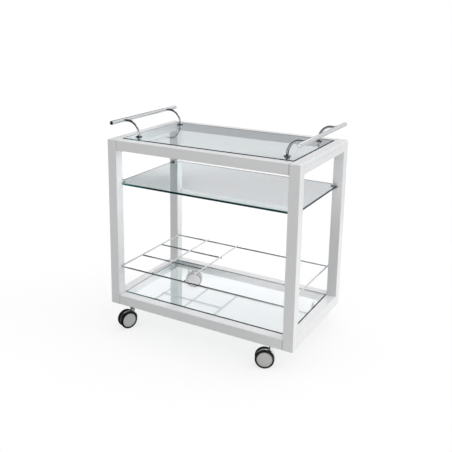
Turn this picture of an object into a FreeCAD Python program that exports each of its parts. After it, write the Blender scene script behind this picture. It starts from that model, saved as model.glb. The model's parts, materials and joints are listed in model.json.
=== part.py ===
import FreeCAD, Part
import math
import os

# A white bar cart: two end frames of square tube joined by four long rails, a glass top with two tube
# handles, a glass shelf in chrome clips, a chrome bottle rack above a glass base, and four swivel casters
# with two wheels each.
# Sizes are in millimetres. The origin is on the floor under the middle of the cart. +X runs along the
# cart's length, the front faces -Y and +Z is up.

V = FreeCAD.Vector

# Frame of square tube
cart_length = 800.0
cart_depth = 484.0
frame_height = 684.0
tube_size = 40.0
tube_wall = 2.0
tube_edge_radius = 1.5
post_top_plate = 3.0
end_cap_height = 16.0
shadow_gap = 0.8
plug_height = 12.0

# Joint between a long rail and a post
joint_gap = 0.6
spigot_length = 30.0
spigot_clearance = 0.2
spigot_base = 10.0
spigot_bolt_diameter = 8.0
spigot_bolt_reach = 6.0
set_screw_diameter = 5.0
set_screw_bite = 4.0

# Glass panes and what carries them
glass_thickness = 8.0
glass_edge_gap = 1.5
glass_corner_radius = 4.0
glass_arris = 1.2
glass_proud = 2.5
ledge_width = 14.0
ledge_thickness = 3.0
ledge_end_gap = 20.0
pad_diameter = 10.0
pad_thickness = 1.5
pads_per_ledge = 4

# Middle shelf and its clips
shelf_drop = 176.0
shelf_post_gap = 4.0
shelf_reach = 13.5
clip_width = 22.0
clip_past_shelf = 2.0
clip_depth = 20.0
clip_back = 3.0
clip_jaw = 5.0
clip_edge_radius = 1.25
clip_liner_gap = 0.5
clip_screw_diameter = 5.0
clip_screw_reach = 8.0
clip_screw_head = 1.8
clamp_screw_diameter = 4.0
clamp_screw_tail = 1.0

# Handles
bar_diameter = 16.0
bar_wall = 1.5
bar_inset = 12.0
bar_overhang = 78.0
bar_plug_depth = 12.0
bar_plug_recess = 0.6
stem_diameter = 10.0
stem_upright = 9.5
stem_bend_radius = 50.5
stem_run = 23.5
stem_edge_inset = 48.5
stem_hole_clearance = 1.0
stem_thread = 10.0
flange_diameter = 26.0
flange_height = 4.5
flange_chamfer = 1.5
nut_washer_thickness = 1.5

# Bottle rack of round rod
rod_diameter = 6.0
rack_rise = 116.0
rack_post_inset = 24.0
rack_end_gap = 1.0
rod_socket = 12.0
cell_width = 147.5
cell_columns = 2
cell_rows = 3

# Casters
wheel_diameter = 72.0
neck_rise = 18.0
neck_gap = 2.0
neck_diameter = 18.0
caster_trail = 24.0
caster_from_spigot = 20.0
front_left_turn = -25.5
front_right_turn = -65.0
tyre_width = 14.5
tyre_depth = 7.0
tyre_shoulder = 4.0
web_thickness = 9.0
web_inset = 3.0
web_skirt = 10.0
fender_gap = 1.0
fender_thickness = 3.0
fender_width = 26.0
fender_low_angle = 4.0
fender_high_angle = 54.0
axle_diameter = 8.0
hub_boss_diameter = 18.0
hub_recess = 9.0
rim_thickness = 3.5
disc_thickness = 3.0
disc_setback = 1.5
disc_dome = 2.0
kingpin_diameter = 10.0
kingpin_floor = 4.0
collar_diameter = 17.0

# Proportions of fasteners, as shares of the thread's diameter
nut_flats = 1.7
nut_height = 0.8
socket_head_radius = 0.8
flat_head_radius = 0.85
washer_radius = 1.1
thread_tail = 0.2

# Roundings are held to this share of the wall or edge that they sit on
rounding_limit = 0.8

# Fits
running_clearance = 0.05
thread_clearance = 0.05
seat_gap = 0.3
side_clearance = 0.5
snap_height = 0.4
snap_width = 1.0
snap_clearance = 0.2
snap_side_clearance = 0.5

# Planes worked out from the sizes above
half_length = cart_length / 2
half_depth = cart_depth / 2
inner_x = half_length - tube_size
inner_y = half_depth - tube_size
rail_x = half_length - tube_size / 2
rail_y = half_depth - tube_size / 2
wheel_radius = wheel_diameter / 2
frame_bottom = wheel_diameter + neck_rise
frame_top = frame_bottom + frame_height
deck_top = frame_bottom + tube_size
top_pane_top = frame_top + glass_proud
base_pane_top = deck_top + glass_proud
shelf_top = frame_top - shelf_drop
shelf_bottom = shelf_top - glass_thickness
tube_inside = tube_size - 2 * tube_wall
pane_x = inner_x - glass_edge_gap
pane_y = inner_y - glass_edge_gap
shelf_x = inner_x + clip_width - clip_past_shelf
shelf_y = inner_y - shelf_post_gap
shelf_neck_x = inner_x - shelf_post_gap
shelf_long_y = inner_y + shelf_reach

ENDS = {"left": -1, "right": 1}
SIDES = {"front": -1, "rear": 1}
LEVELS = {"top": frame_top - tube_size, "bottom": frame_bottom}

nodes = {}


# Basic solids

def block(x, y, z):
    """A box between a low and a high limit on each axis, given in either order."""
    lengths = [abs(limits[1] - limits[0]) for limits in (x, y, z)]
    return Part.makeBox(*lengths, V(min(x), min(y), min(z)))


def rod(start, end, radius):
    """A straight round rod between two points."""
    return Part.makeCylinder(radius, (end - start).Length, start, end - start)


def hexagon(centre, across_flats, height):
    """A hexagonal prism that stands on its centre point along +Z."""
    corner = across_flats / math.sqrt(3)
    angles = [math.radians(60 * step) for step in range(7)]
    points = [centre + V(corner * math.cos(a), corner * math.sin(a), 0) for a in angles]
    return Part.Face(Part.makePolygon(points)).extrude(V(0, 0, height))


def edges_along(shape, axis):
    """The straight edges of a shape that run along an axis."""
    found = []
    for edge in shape.Edges:
        run = edge.Vertexes[-1].Point - edge.Vertexes[0].Point
        if run.Length > 0 and abs(run.normalize().dot(axis)) > 0.999:
            found.append(edge)
    return found


def edges_at_height(shape, height):
    """The edges of a shape that lie in one level plane."""
    return [e for e in shape.Edges if all(abs(v.Z - height) < 1e-6 for v in e.Vertexes)]


def square_tube(x, y, z, axis):
    """A tube with a rectangular section, open at both ends, with its long outer edges rounded."""
    outer = block(x, y, z)
    radius = min(tube_edge_radius, rounding_limit * tube_wall)
    outer = outer.makeFillet(radius, edges_along(outer, axis))
    shrink = [0 if component else tube_wall for component in axis]
    limits = []
    for (low, high), wall in zip((sorted(x), sorted(y), sorted(z)), shrink):
        limits.append((low + wall, high - wall))
    return outer.cut(block(*limits))


def drilled(shape, holes):
    """A shape with a list of cutting solids taken away."""
    return shape.cut(Part.makeCompound(holes)) if holes else shape


# Joint pieces between the long rails and the posts

def joint_places():
    """The middle of each joint face on a post: end sign, side sign and the rail's middle height."""
    return [(end, side, level + tube_size / 2)
            for end in ENDS.values() for side in SIDES.values() for level in LEVELS.values()]


def joint_bolt(end, side, height, clearance, head_clearance):
    """The bolt of one rail joint, or the hole that it needs, with its head inside the rail."""
    radius = spigot_bolt_diameter / 2 + clearance
    head_radius = socket_head_radius * spigot_bolt_diameter + head_clearance
    seat = V(end * (inner_x - spigot_base), side * rail_y, height)
    tip = V(end * (inner_x + tube_wall + spigot_bolt_reach), side * rail_y, height)
    head_end = V(end * (inner_x - spigot_base - spigot_bolt_diameter), side * rail_y, height)
    return rod(seat, tip, radius).fuse(rod(head_end, seat, head_radius)).removeSplitter()


def set_screw(end, side, height, clearance, end_clearance):
    """The set screw under one rail end, or the hole that it needs."""
    x = end * (inner_x - joint_gap - spigot_length / 2)
    low = height - tube_size / 2 + (0 if end_clearance else seat_gap)
    high = height - tube_size / 2 + tube_wall + spigot_clearance + set_screw_bite + end_clearance
    radius = set_screw_diameter / 2 + clearance
    return rod(V(x, side * rail_y, low), V(x, side * rail_y, high), radius)


def spigot(end, side, height):
    """The square block on a post's inner face that a rail slides over."""
    half = tube_inside / 2 - spigot_clearance
    x = (end * inner_x, end * (inner_x - spigot_length))
    body = block(x, (side * rail_y - half, side * rail_y + half), (height - half, height + half))
    mouth = V(end * (inner_x - spigot_length), side * rail_y, height)
    seat = V(end * (inner_x - spigot_base), side * rail_y, height)
    counterbore = rod(mouth, seat, socket_head_radius * spigot_bolt_diameter + spigot_clearance)
    bolt_hole = joint_bolt(end, side, height, thread_clearance, spigot_clearance)
    dimple = set_screw(end, side, height, thread_clearance, spigot_clearance)
    return drilled(body, [counterbore, bolt_hole, dimple])


# Casters: places, turns and the solids of one caster about its own swivel axis

def caster_places():
    """Each caster's name, its swivel axis and its turn. The rear pair is the front pair turned half round."""
    x = half_length - tube_size - spigot_length - caster_from_spigot
    return [
        ("front_left", -x, -rail_y, front_left_turn),
        ("front_right", x, -rail_y, front_right_turn),
        ("rear_left", -x, rail_y, front_right_turn + 180),
        ("rear_right", x, rail_y, front_left_turn + 180),
    ]


envelope_radius = wheel_radius + fender_gap
wheel_inner_x = web_thickness / 2 + side_clearance
wheel_outer_x = wheel_inner_x + tyre_width
core_radius = wheel_radius - tyre_depth
axle_radius = axle_diameter / 2
axle_bore = axle_radius + running_clearance
bore_end_x = wheel_outer_x - disc_thickness
snap_x = (wheel_inner_x + bore_end_x) / 2
kingpin_radius = kingpin_diameter / 2
kingpin_bore = kingpin_radius + running_clearance
neck_top = frame_bottom - neck_gap
wheel_reach = max(envelope_radius ** 2 - (caster_trail - kingpin_bore) ** 2, 0)
kingpin_bottom = wheel_radius + math.sqrt(wheel_reach) + kingpin_floor
kingpin_snap_z = (kingpin_bottom + neck_top) / 2


def snap_ring(radius, middle, axis_length):
    """A low ring about the X axis, used as a snap bead or as the groove that takes it."""
    return Part.makeCylinder(radius, axis_length, V(middle - axis_length / 2, 0, 0), V(1, 0, 0))


def caster_axle():
    """The axle on the X axis, with a snap bead near each end that keeps a wheel on."""
    length = bore_end_x - seat_gap
    shaft = rod(V(-length, 0, 0), V(length, 0, 0), axle_radius)
    beads = [snap_ring(axle_radius + snap_height, side * snap_x, snap_width) for side in (-1, 1)]
    return shaft.fuse(beads).removeSplitter()


def wheel_core():
    """The grey wheel on the +X side: hub, recessed web, rim and a shallow domed outer disc."""
    groove = axle_bore + snap_height + snap_clearance
    groove_half = snap_width / 2 + snap_side_clearance
    boss = hub_boss_diameter / 2
    rim = core_radius - rim_thickness
    disc_x = wheel_outer_x - disc_setback
    inner = [
        (bore_end_x, 0), (bore_end_x, axle_bore), (snap_x + groove_half, axle_bore),
        (snap_x + groove_half, groove), (snap_x - groove_half, groove), (snap_x - groove_half, axle_bore),
        (wheel_inner_x, axle_bore), (wheel_inner_x, boss), (wheel_inner_x + hub_recess, boss),
        (wheel_inner_x + hub_recess, rim), (wheel_inner_x, rim), (wheel_inner_x, core_radius),
        (disc_x, core_radius),
    ]
    points = [V(x, 0, radius) for x, radius in inner]
    edges = [Part.LineSegment(a, b).toShape() for a, b in zip(points, points[1:])]
    sphere = (core_radius ** 2 + disc_dome ** 2) / (2 * disc_dome)
    sphere_x = disc_x + disc_dome - sphere
    half_radius = core_radius / 2
    dome_mid = V(sphere_x + math.sqrt(sphere ** 2 - half_radius ** 2), 0, half_radius)
    dome_top = V(disc_x + disc_dome, 0, 0)
    edges.append(Part.Arc(points[-1], dome_mid, dome_top).toShape())
    edges.append(Part.LineSegment(dome_top, points[0]).toShape())
    outline = Part.Wire(edges)
    return Part.Face(outline).revolve(V(0, 0, 0), V(1, 0, 0), 360)


def wheel_tyre():
    """The black tyre round the wheel on the +X side, with rounded shoulders."""
    ring = snap_ring(wheel_radius, (wheel_inner_x + wheel_outer_x) / 2, tyre_width)
    shoulder = min(tyre_shoulder, rounding_limit * tyre_depth)
    round_edges = [e for e in ring.Edges if isinstance(e.Curve, Part.Circle)]
    ring = ring.makeFillet(shoulder, round_edges)
    return ring.cut(snap_ring(core_radius, (wheel_inner_x + wheel_outer_x) / 2, 2 * tyre_width))


def caster_hood():
    """The hood: a web between the wheels, a guard in front of them and the neck round the kingpin."""
    axle_place = V(0, -caster_trail, wheel_radius)
    half_web = web_thickness / 2
    web_radius = wheel_radius - web_inset
    along = V(1, 0, 0)
    web = Part.makeCylinder(web_radius, web_thickness, axle_place - along * half_web, along)
    web_low = wheel_radius - web_skirt
    keep = block((-half_web, half_web), (-caster_trail - web_radius, -caster_trail + web_radius),
                 (web_low, wheel_radius + web_radius))
    boss = Part.makeCylinder(hub_boss_diameter / 2, web_thickness, axle_place - along * half_web, along)
    web = web.common(keep).fuse(boss)

    half_fender = fender_width / 2
    start = axle_place - along * half_fender
    outer = Part.makeCylinder(envelope_radius + fender_thickness, fender_width, start, along)
    inner = Part.makeCylinder(envelope_radius, fender_width, start, along)
    reach = 2 * envelope_radius
    low, high = (math.radians(a) for a in (fender_low_angle, fender_high_angle))
    wedge = Part.makePolygon([
        start,
        start + V(0, reach * math.cos(low), reach * math.sin(low)),
        start + V(0, reach * math.cos(high), reach * math.sin(high)),
        start,
    ])
    sector = Part.Face(wedge).extrude(along * fender_width)
    fender = outer.cut(inner).common(sector)

    neck = rod(V(0, 0, wheel_radius), V(0, 0, neck_top), neck_diameter / 2)
    wheels = Part.makeCylinder(envelope_radius, 2 * neck_diameter, axle_place - along * neck_diameter, along)
    neck = neck.cut(wheels)
    bridge = block((-half_web, half_web), (-caster_trail, 0), (wheel_radius, kingpin_bottom))
    bridge = bridge.common(outer.fuse(web))

    hood = web.fuse([fender, neck, bridge]).removeSplitter()
    bore = rod(V(0, 0, kingpin_bottom), V(0, 0, neck_top), kingpin_bore)
    groove_half = snap_width / 2 + snap_side_clearance
    groove = rod(V(0, 0, kingpin_snap_z - groove_half), V(0, 0, kingpin_snap_z + groove_half),
                 kingpin_bore + snap_height + snap_clearance)
    axle_hole = Part.makeCylinder(axle_radius, 2 * fender_width, axle_place - along * fender_width, along)
    return drilled(hood, [bore, groove, axle_hole])


def kingpin():
    """The fixed pin that a hood turns on: a collar under the rail and a thread up into it."""
    top = frame_bottom + tube_wall + (nut_height + thread_tail) * kingpin_diameter
    pin = rod(V(0, 0, kingpin_bottom + seat_gap), V(0, 0, top), kingpin_radius)
    collar = rod(V(0, 0, neck_top + seat_gap), V(0, 0, frame_bottom), collar_diameter / 2)
    bead = rod(V(0, 0, kingpin_snap_z - snap_width / 2), V(0, 0, kingpin_snap_z + snap_width / 2),
               kingpin_radius + snap_height)
    return pin.fuse([collar, bead]).removeSplitter()


def kingpin_nut():
    """The nut inside the rail that holds a kingpin."""
    seat = V(0, 0, frame_bottom + tube_wall)
    nut = hexagon(seat, nut_flats * kingpin_diameter, nut_height * kingpin_diameter)
    return nut.cut(rod(V(0, 0, 0), V(0, 0, frame_top), kingpin_radius + thread_clearance))


def placed(shape, x, y, turn):
    """A copy of a caster's solid, turned about its swivel axis and moved to its place."""
    copy = shape.copy()
    copy.rotate(V(0, 0, 0), V(0, 0, 1), turn)
    copy.translate(V(x, y, 0))
    return copy


def on_axle(shape, half_turn):
    """A wheel solid moved to the axle of a caster, on the +X side or turned to the other side."""
    copy = shape.copy()
    copy.rotate(V(0, 0, 0), V(0, 0, 1), half_turn)
    copy.translate(V(0, -caster_trail, wheel_radius))
    return copy


# Bottle rack rods

rod_radius = rod_diameter / 2
rack_z = deck_top + rack_rise
cross_z = rack_z + rod_diameter
rack_y = half_depth - rack_post_inset
rack_x = inner_x - rack_end_gap - rod_radius
divider_xs = [-rack_x + cell_width * (column + 1) for column in range(cell_columns)]
divider_ys = [-rack_y + 2 * rack_y * (row + 1) / cell_rows for row in range(cell_rows - 1)]


def long_rods():
    """The rods along X: the front and rear ones reach into the posts, the others stop at the last divider."""
    ends = inner_x + rod_socket
    rods = [rod(V(-ends, side * rack_y, rack_z), V(ends, side * rack_y, rack_z), rod_radius)
            for side in SIDES.values()]
    for y in divider_ys:
        start = V(-rack_x - rod_radius, y, rack_z)
        rods.append(rod(start, V(divider_xs[-1] + rod_radius, y, rack_z), rod_radius))
    return rods


def cross_rods():
    """The rods along Y, which lie on the long rods."""
    reach = rack_y + rod_radius
    return [rod(V(x, -reach, cross_z), V(x, reach, cross_z), rod_radius)
            for x in (-rack_x, *divider_xs, rack_x)]


# Shelf clips

clip_x = inner_x + clip_width / 2
clip_slot_top = shelf_top + clip_liner_gap
clip_top = clip_slot_top + clip_jaw
clip_bottom = shelf_bottom - clip_jaw
clip_screw_z = (shelf_top + shelf_bottom) / 2


def clip_screw(end, side, clearance):
    """The screw through a clip's back into its post, or the hole that it needs."""
    x = end * clip_x
    face = inner_y - clip_back
    head = rod(V(x, side * face, clip_screw_z), V(x, side * (face + clip_screw_head), clip_screw_z),
               flat_head_radius * clip_screw_diameter + clearance)
    tip = inner_y + tube_wall + clip_screw_reach
    shank = rod(V(x, side * face, clip_screw_z), V(x, side * tip, clip_screw_z),
                clip_screw_diameter / 2 + clearance)
    return head.fuse(shank).removeSplitter()


def clamp_screw(end, side, clearance):
    """The small screw in a clip's lower jaw that meets the glass, or the hole that it needs."""
    place = V(end * clip_x, side * (inner_y - (clip_depth + clip_back) / 2), 0)
    low, high = V(0, 0, clip_bottom - clamp_screw_tail), V(0, 0, shelf_bottom)
    return rod(place + low, place + high, clamp_screw_diameter / 2 + clearance)


def shelf_clip(end, side):
    """A C-shaped clip on a post, with its slot open towards the glass."""
    x = (end * inner_x, end * (inner_x + clip_width))
    body = block(x, (side * inner_y, side * (inner_y - clip_depth)), (clip_bottom, clip_top))
    slot = block((x[0] - clip_width, x[1] + clip_width),
                 (side * (inner_y - clip_back), side * (inner_y - 2 * clip_depth)),
                 (shelf_bottom, clip_slot_top))
    radius = min(clip_edge_radius, rounding_limit * clip_jaw)
    body = body.makeFillet(radius, edges_along(body, V(0, 1, 0)))
    return drilled(body, [slot, clip_screw(end, side, thread_clearance),
                          clamp_screw(end, side, thread_clearance)])


# Handles

bar_radius = bar_diameter / 2
bar_x = half_length - bar_inset
bar_z = top_pane_top + stem_upright + stem_bend_radius
stem_x = bar_x - stem_run - stem_bend_radius
stem_y = pane_y - stem_edge_inset
bar_half = stem_y + bar_overhang
stem_radius = stem_diameter / 2


def handle_bar(end):
    """A straight tube across one end of the cart."""
    start, stop = V(end * bar_x, -bar_half, bar_z), V(end * bar_x, bar_half, bar_z)
    return rod(start, stop, bar_radius).cut(rod(start, stop, bar_radius - bar_wall))


def handle_stem(end, side):
    """A rod that rises from the glass, bends outwards through a quarter circle and meets the bar's side."""
    y = side * stem_y
    base = V(end * stem_x, y, top_pane_top - glass_thickness - stem_thread)
    bend_start = V(end * stem_x, y, top_pane_top + stem_upright)
    corner = V(end * (stem_x + stem_bend_radius), y, top_pane_top + stem_upright)
    bend_end = corner + V(0, 0, stem_bend_radius)
    half = stem_bend_radius * math.sqrt(0.5)
    bend_mid = corner + V(-end * half, 0, half)
    tip = V(end * bar_x, y, bar_z)
    path = Part.Wire([
        Part.LineSegment(base, bend_start).toShape(),
        Part.Arc(bend_start, bend_mid, bend_end).toShape(),
        Part.LineSegment(bend_end, tip).toShape(),
    ])
    section = Part.Wire(Part.makeCircle(stem_radius, base, V(0, 0, 1)))
    stem = path.makePipeShell([section], True, False)
    bar = rod(V(end * bar_x, -bar_half, bar_z), V(end * bar_x, bar_half, bar_z), bar_radius)
    return stem.cut(bar)


def bar_plug(end, side):
    """A plug in one end of a handle bar, set a little back from the tube's end."""
    outside = side * (bar_half - bar_plug_recess)
    inside = side * (bar_half - bar_plug_recess - bar_plug_depth)
    return rod(V(end * bar_x, inside, bar_z), V(end * bar_x, outside, bar_z), bar_radius - bar_wall)


def stem_flange(end, side):
    """The round foot of a handle stem on the glass."""
    foot = V(end * stem_x, side * stem_y, top_pane_top)
    disc = rod(foot, foot + V(0, 0, flange_height), flange_diameter / 2)
    chamfer = min(flange_chamfer, rounding_limit * flange_height)
    disc = disc.makeChamfer(chamfer, edges_at_height(disc, foot.z + flange_height))
    return disc.cut(rod(foot, foot + V(0, 0, 2 * flange_height), stem_radius + thread_clearance))


def stem_nut(end, side):
    """The washer-faced nut under the glass that holds a handle stem."""
    under = V(end * stem_x, side * stem_y, top_pane_top - glass_thickness)
    height = nut_height * stem_diameter
    washer = rod(under - V(0, 0, nut_washer_thickness), under, washer_radius * stem_diameter)
    nut = hexagon(under - V(0, 0, nut_washer_thickness + height), nut_flats * stem_diameter, height)
    hole = rod(under - V(0, 0, 2 * stem_thread), under, stem_radius + thread_clearance)
    return washer.fuse(nut).removeSplitter().cut(hole)


# Panes and their ledges

def pane(half_x, half_y, top):
    """A sheet of glass with rounded corners and a fine arris on its edges."""
    sheet = block((-half_x, half_x), (-half_y, half_y), (top - glass_thickness, top))
    sheet = sheet.makeFillet(glass_corner_radius, edges_along(sheet, V(0, 0, 1)))
    rims = edges_at_height(sheet, top) + edges_at_height(sheet, top - glass_thickness)
    return sheet.makeChamfer(min(glass_arris, rounding_limit * glass_thickness / 2), rims)


def notched_shelf():
    """The middle shelf: its corners are cut out round the posts, so it reaches between them on all four sides."""
    between_ends = pane(shelf_x, shelf_y, shelf_top)
    between_sides = pane(shelf_neck_x, shelf_long_y, shelf_top)
    return between_ends.fuse(between_sides).removeSplitter()


def ledge(side, pane_top):
    """A flat strip on a long rail's inner face, under a pane's edge."""
    x = inner_x - ledge_end_gap
    top = pane_top - glass_thickness - pad_thickness
    return block((-x, x), (side * inner_y, side * (inner_y - ledge_width)), (top - ledge_thickness, top))


def ledge_pads(side, pane_top):
    """The soft discs between a ledge and a pane."""
    x = inner_x - ledge_end_gap - pad_diameter
    y = side * (inner_y - ledge_width / 2)
    top = pane_top - glass_thickness
    places = [-x + 2 * x * step / (pads_per_ledge - 1) for step in range(pads_per_ledge)]
    return [rod(V(px, y, top - pad_thickness), V(px, y, top), pad_diameter / 2) for px in places]


# Corner posts: closed at the top, with holes for rail bolts, rack rods and shelf clips

def corner_post(end, side):
    """One upright tube of an end frame."""
    x = (end * inner_x, end * half_length)
    y = (side * inner_y, side * half_depth)
    outer = block(x, y, (frame_bottom, frame_top))
    radius = min(tube_edge_radius, rounding_limit * tube_wall)
    rounded = edges_along(outer, V(0, 0, 1)) + edges_at_height(outer, frame_top)
    outer = outer.makeFillet(radius, rounded)
    hollow = block((end * (inner_x + tube_wall), end * (half_length - tube_wall)),
                   (side * (inner_y + tube_wall), side * (half_depth - tube_wall)),
                   (frame_bottom, frame_top - post_top_plate))
    holes = [joint_bolt(end, side, level + tube_size / 2, thread_clearance, 0) for level in LEVELS.values()]
    rod_hole = rod(V(end * inner_x, side * rack_y, rack_z),
                   V(end * (inner_x + rod_socket), side * rack_y, rack_z), rod_radius + thread_clearance)
    return drilled(outer.cut(hollow), holes + [rod_hole, clip_screw(end, side, thread_clearance)])


for end_name, end in ENDS.items():
    for side_name, side in SIDES.items():
        nodes[f"{side_name}_{end_name}_post"] = corner_post(end, side)

# Long rails, with holes for the set screws and, in the bottom pair, for the kingpins

for side_name, side in SIDES.items():
    for level_name, level in LEVELS.items():
        reach = inner_x - joint_gap
        y = (side * inner_y, side * half_depth)
        tube = square_tube((-reach, reach), y, (level, level + tube_size), V(1, 0, 0))
        holes = [set_screw(end, side, level + tube_size / 2, thread_clearance, spigot_clearance)
                 for end in ENDS.values()]
        if level_name == "bottom":
            pin_hole = kingpin_radius + thread_clearance
            holes += [rod(V(x, pin_y, level), V(x, pin_y, level + tube_wall), pin_hole)
                      for _, x, pin_y, _ in caster_places() if pin_y * side > 0]
        nodes[f"{side_name}_{level_name}_rail"] = drilled(tube, holes)

# End rails between the posts: the top one has a separate cap above a fine shadow line

for end_name, end in ENDS.items():
    x = (end * inner_x, end * half_length)
    y = (-inner_y, inner_y)
    top_low = frame_top - tube_size
    cap_low = frame_top - end_cap_height
    nodes[f"{end_name}_top_end_rail"] = square_tube(x, y, (top_low, cap_low - shadow_gap), V(0, 1, 0))
    nodes[f"{end_name}_top_end_cap"] = square_tube(x, y, (cap_low, frame_top), V(0, 1, 0))
    nodes[f"{end_name}_bottom_end_rail"] = square_tube(x, y, (frame_bottom, deck_top), V(0, 1, 0))

# Plugs in the open lower ends of the posts

plug_half = tube_inside / 2 - spigot_clearance
nodes["post_plugs"] = Part.makeCompound([
    block((end * rail_x - plug_half, end * rail_x + plug_half),
          (side * rail_y - plug_half, side * rail_y + plug_half),
          (frame_bottom, frame_bottom + plug_height))
    for end in ENDS.values() for side in SIDES.values()
])

# Hidden joint hardware

nodes["rail_spigots"] = Part.makeCompound([spigot(*place) for place in joint_places()])
nodes["spigot_bolts"] = Part.makeCompound([joint_bolt(*place, 0, 0) for place in joint_places()])
nodes["rail_set_screws"] = Part.makeCompound([set_screw(*place, 0, 0) for place in joint_places()])

# Glass: the top pane has four holes for the handle stems

stem_holes = [
    rod(V(end * stem_x, side * stem_y, top_pane_top - 2 * glass_thickness),
        V(end * stem_x, side * stem_y, top_pane_top + glass_thickness), stem_radius + stem_hole_clearance)
    for end in ENDS.values() for side in SIDES.values()
]
nodes["top_glass"] = drilled(pane(pane_x, pane_y, top_pane_top), stem_holes)
nodes["middle_glass_shelf"] = notched_shelf()
nodes["bottom_glass"] = pane(pane_x, pane_y, base_pane_top)
nodes["top_glass_ledges"] = Part.makeCompound([ledge(side, top_pane_top) for side in SIDES.values()])
nodes["bottom_glass_ledges"] = Part.makeCompound([ledge(side, base_pane_top) for side in SIDES.values()])
nodes["glass_pads"] = Part.makeCompound([
    pad for side in SIDES.values() for top in (top_pane_top, base_pane_top) for pad in ledge_pads(side, top)
])

# Shelf clips and their screws

corners = [(end, side) for end in ENDS.values() for side in SIDES.values()]
nodes["shelf_clips"] = Part.makeCompound([shelf_clip(*corner) for corner in corners])
nodes["shelf_clip_screws"] = Part.makeCompound(
    [clip_screw(*corner, 0) for corner in corners] + [clamp_screw(*corner, 0) for corner in corners]
)

# Handles

for end_name, end in ENDS.items():
    nodes[f"{end_name}_handle_bar"] = handle_bar(end)
nodes["handle_stems"] = Part.makeCompound([handle_stem(*corner) for corner in corners])
nodes["handle_end_plugs"] = Part.makeCompound([bar_plug(*corner) for corner in corners])
nodes["handle_flanges"] = Part.makeCompound([stem_flange(*corner) for corner in corners])
nodes["handle_nuts"] = Part.makeCompound([stem_nut(*corner) for corner in corners])

# Bottle rack

nodes["rack_long_rods"] = Part.makeCompound(long_rods())
nodes["rack_cross_rods"] = Part.makeCompound(cross_rods())

# Casters

pins, nuts = [], []
for name, x, y, turn in caster_places():
    pins.append(placed(kingpin(), x, y, turn))
    nuts.append(placed(kingpin_nut(), x, y, turn))
    nodes[f"{name}_caster_hood"] = placed(caster_hood(), x, y, turn)
    nodes[f"{name}_caster_axle"] = placed(on_axle(caster_axle(), 0), x, y, turn)
    for wheel_name, half_turn in (("right", 0), ("left", 180)):
        wheel = f"{name}_caster_{wheel_name}"
        nodes[f"{wheel}_wheel"] = placed(on_axle(wheel_core(), half_turn), x, y, turn)
        nodes[f"{wheel}_tyre"] = placed(on_axle(wheel_tyre(), half_turn), x, y, turn)
nodes["caster_kingpins"] = Part.makeCompound(pins)
nodes["caster_nuts"] = Part.makeCompound(nuts)

# One file per node

os.makedirs("parts", exist_ok=True)
for name, shape in nodes.items():
    if not shape.isValid():
        raise ValueError(f"{name} is not a valid solid")
    shape.exportStep(f"parts/{name}.step")
print(len(nodes), "nodes,", sum(len(shape.Solids) for shape in nodes.values()), "solids")
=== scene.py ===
# %% [markdown]
# # A bar cart in white lacquer, glass and chrome
# The cart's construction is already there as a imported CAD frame: posts, rails, panes, clips, screws and
# casters, all in metres and in one frame. This lesson gives it its looks. First come the camera and the
# light, then the finishes as node maths, then the pieces whose curves deserve a finer surface than the
# frame's triangles.

# %% Load the frame
import bmesh
import bpy
import json
import math
import numpy as np
from mathutils import Matrix, Vector


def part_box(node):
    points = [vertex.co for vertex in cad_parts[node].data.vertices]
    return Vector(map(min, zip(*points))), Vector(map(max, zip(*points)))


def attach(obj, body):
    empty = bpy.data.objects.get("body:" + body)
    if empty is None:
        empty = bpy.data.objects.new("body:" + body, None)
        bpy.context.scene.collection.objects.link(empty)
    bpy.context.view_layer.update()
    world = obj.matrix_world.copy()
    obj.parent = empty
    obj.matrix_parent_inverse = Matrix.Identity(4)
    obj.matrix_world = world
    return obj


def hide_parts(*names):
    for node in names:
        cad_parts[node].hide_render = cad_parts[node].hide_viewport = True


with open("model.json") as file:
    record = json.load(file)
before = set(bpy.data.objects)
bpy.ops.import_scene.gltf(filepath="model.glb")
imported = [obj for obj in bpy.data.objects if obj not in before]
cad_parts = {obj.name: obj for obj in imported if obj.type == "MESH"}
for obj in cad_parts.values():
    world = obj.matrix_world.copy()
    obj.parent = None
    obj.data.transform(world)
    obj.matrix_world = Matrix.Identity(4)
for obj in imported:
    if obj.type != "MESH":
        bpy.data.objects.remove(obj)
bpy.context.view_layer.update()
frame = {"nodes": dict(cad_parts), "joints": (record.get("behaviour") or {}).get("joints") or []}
scene = bpy.context.scene
joints = {joint["name"]: joint for joint in frame["joints"]}

# %% [markdown]
# ## The camera
# The photograph's view was solved from the frame's corners: where the camera stands, how it is turned, and
# its focal length. The picture is a crop, so the optical axis isn't in its middle. Blender's lens shift moves
# the window and keeps the perspective, which turning the camera wouldn't.

# %% Place the camera
IMAGE_SIZE = 452
FOCAL_PIXELS = 678.7
AXIS_PIXEL = (193.7, 163.6)
eye = Vector((1.2101, -2.2818, 1.3162))
yaw, pitch, roll = (math.radians(angle) for angle in (30.88, 13.92, 0.21))

level = math.cos(pitch)
forward = Vector((-math.sin(yaw) * level, math.cos(yaw) * level, -math.sin(pitch)))
level_right = Vector((math.cos(yaw), math.sin(yaw), 0))
level_up = level_right.cross(forward)
right = level_right * math.cos(roll) + level_up * math.sin(roll)
up = level_up * math.cos(roll) - level_right * math.sin(roll)

camera_data = bpy.data.cameras.new("photo_camera")
camera_data.sensor_width = 36
camera_data.lens = camera_data.sensor_width * FOCAL_PIXELS / IMAGE_SIZE
camera_data.shift_x = 0.5 - AXIS_PIXEL[0] / IMAGE_SIZE
camera_data.shift_y = AXIS_PIXEL[1] / IMAGE_SIZE - 0.5
camera = bpy.data.objects.new("photo_camera", camera_data)
camera.matrix_world = Matrix.Translation(eye) @ Matrix((right, up, -forward)).transposed().to_4x4()
scene.collection.objects.link(camera)
scene.camera = camera
scene.view_settings.view_transform = "Standard"
shift = (round(camera_data.shift_x, 4), round(camera_data.shift_y, 4))
print("lens", round(camera_data.lens, 2), "shift", shift)

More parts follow.
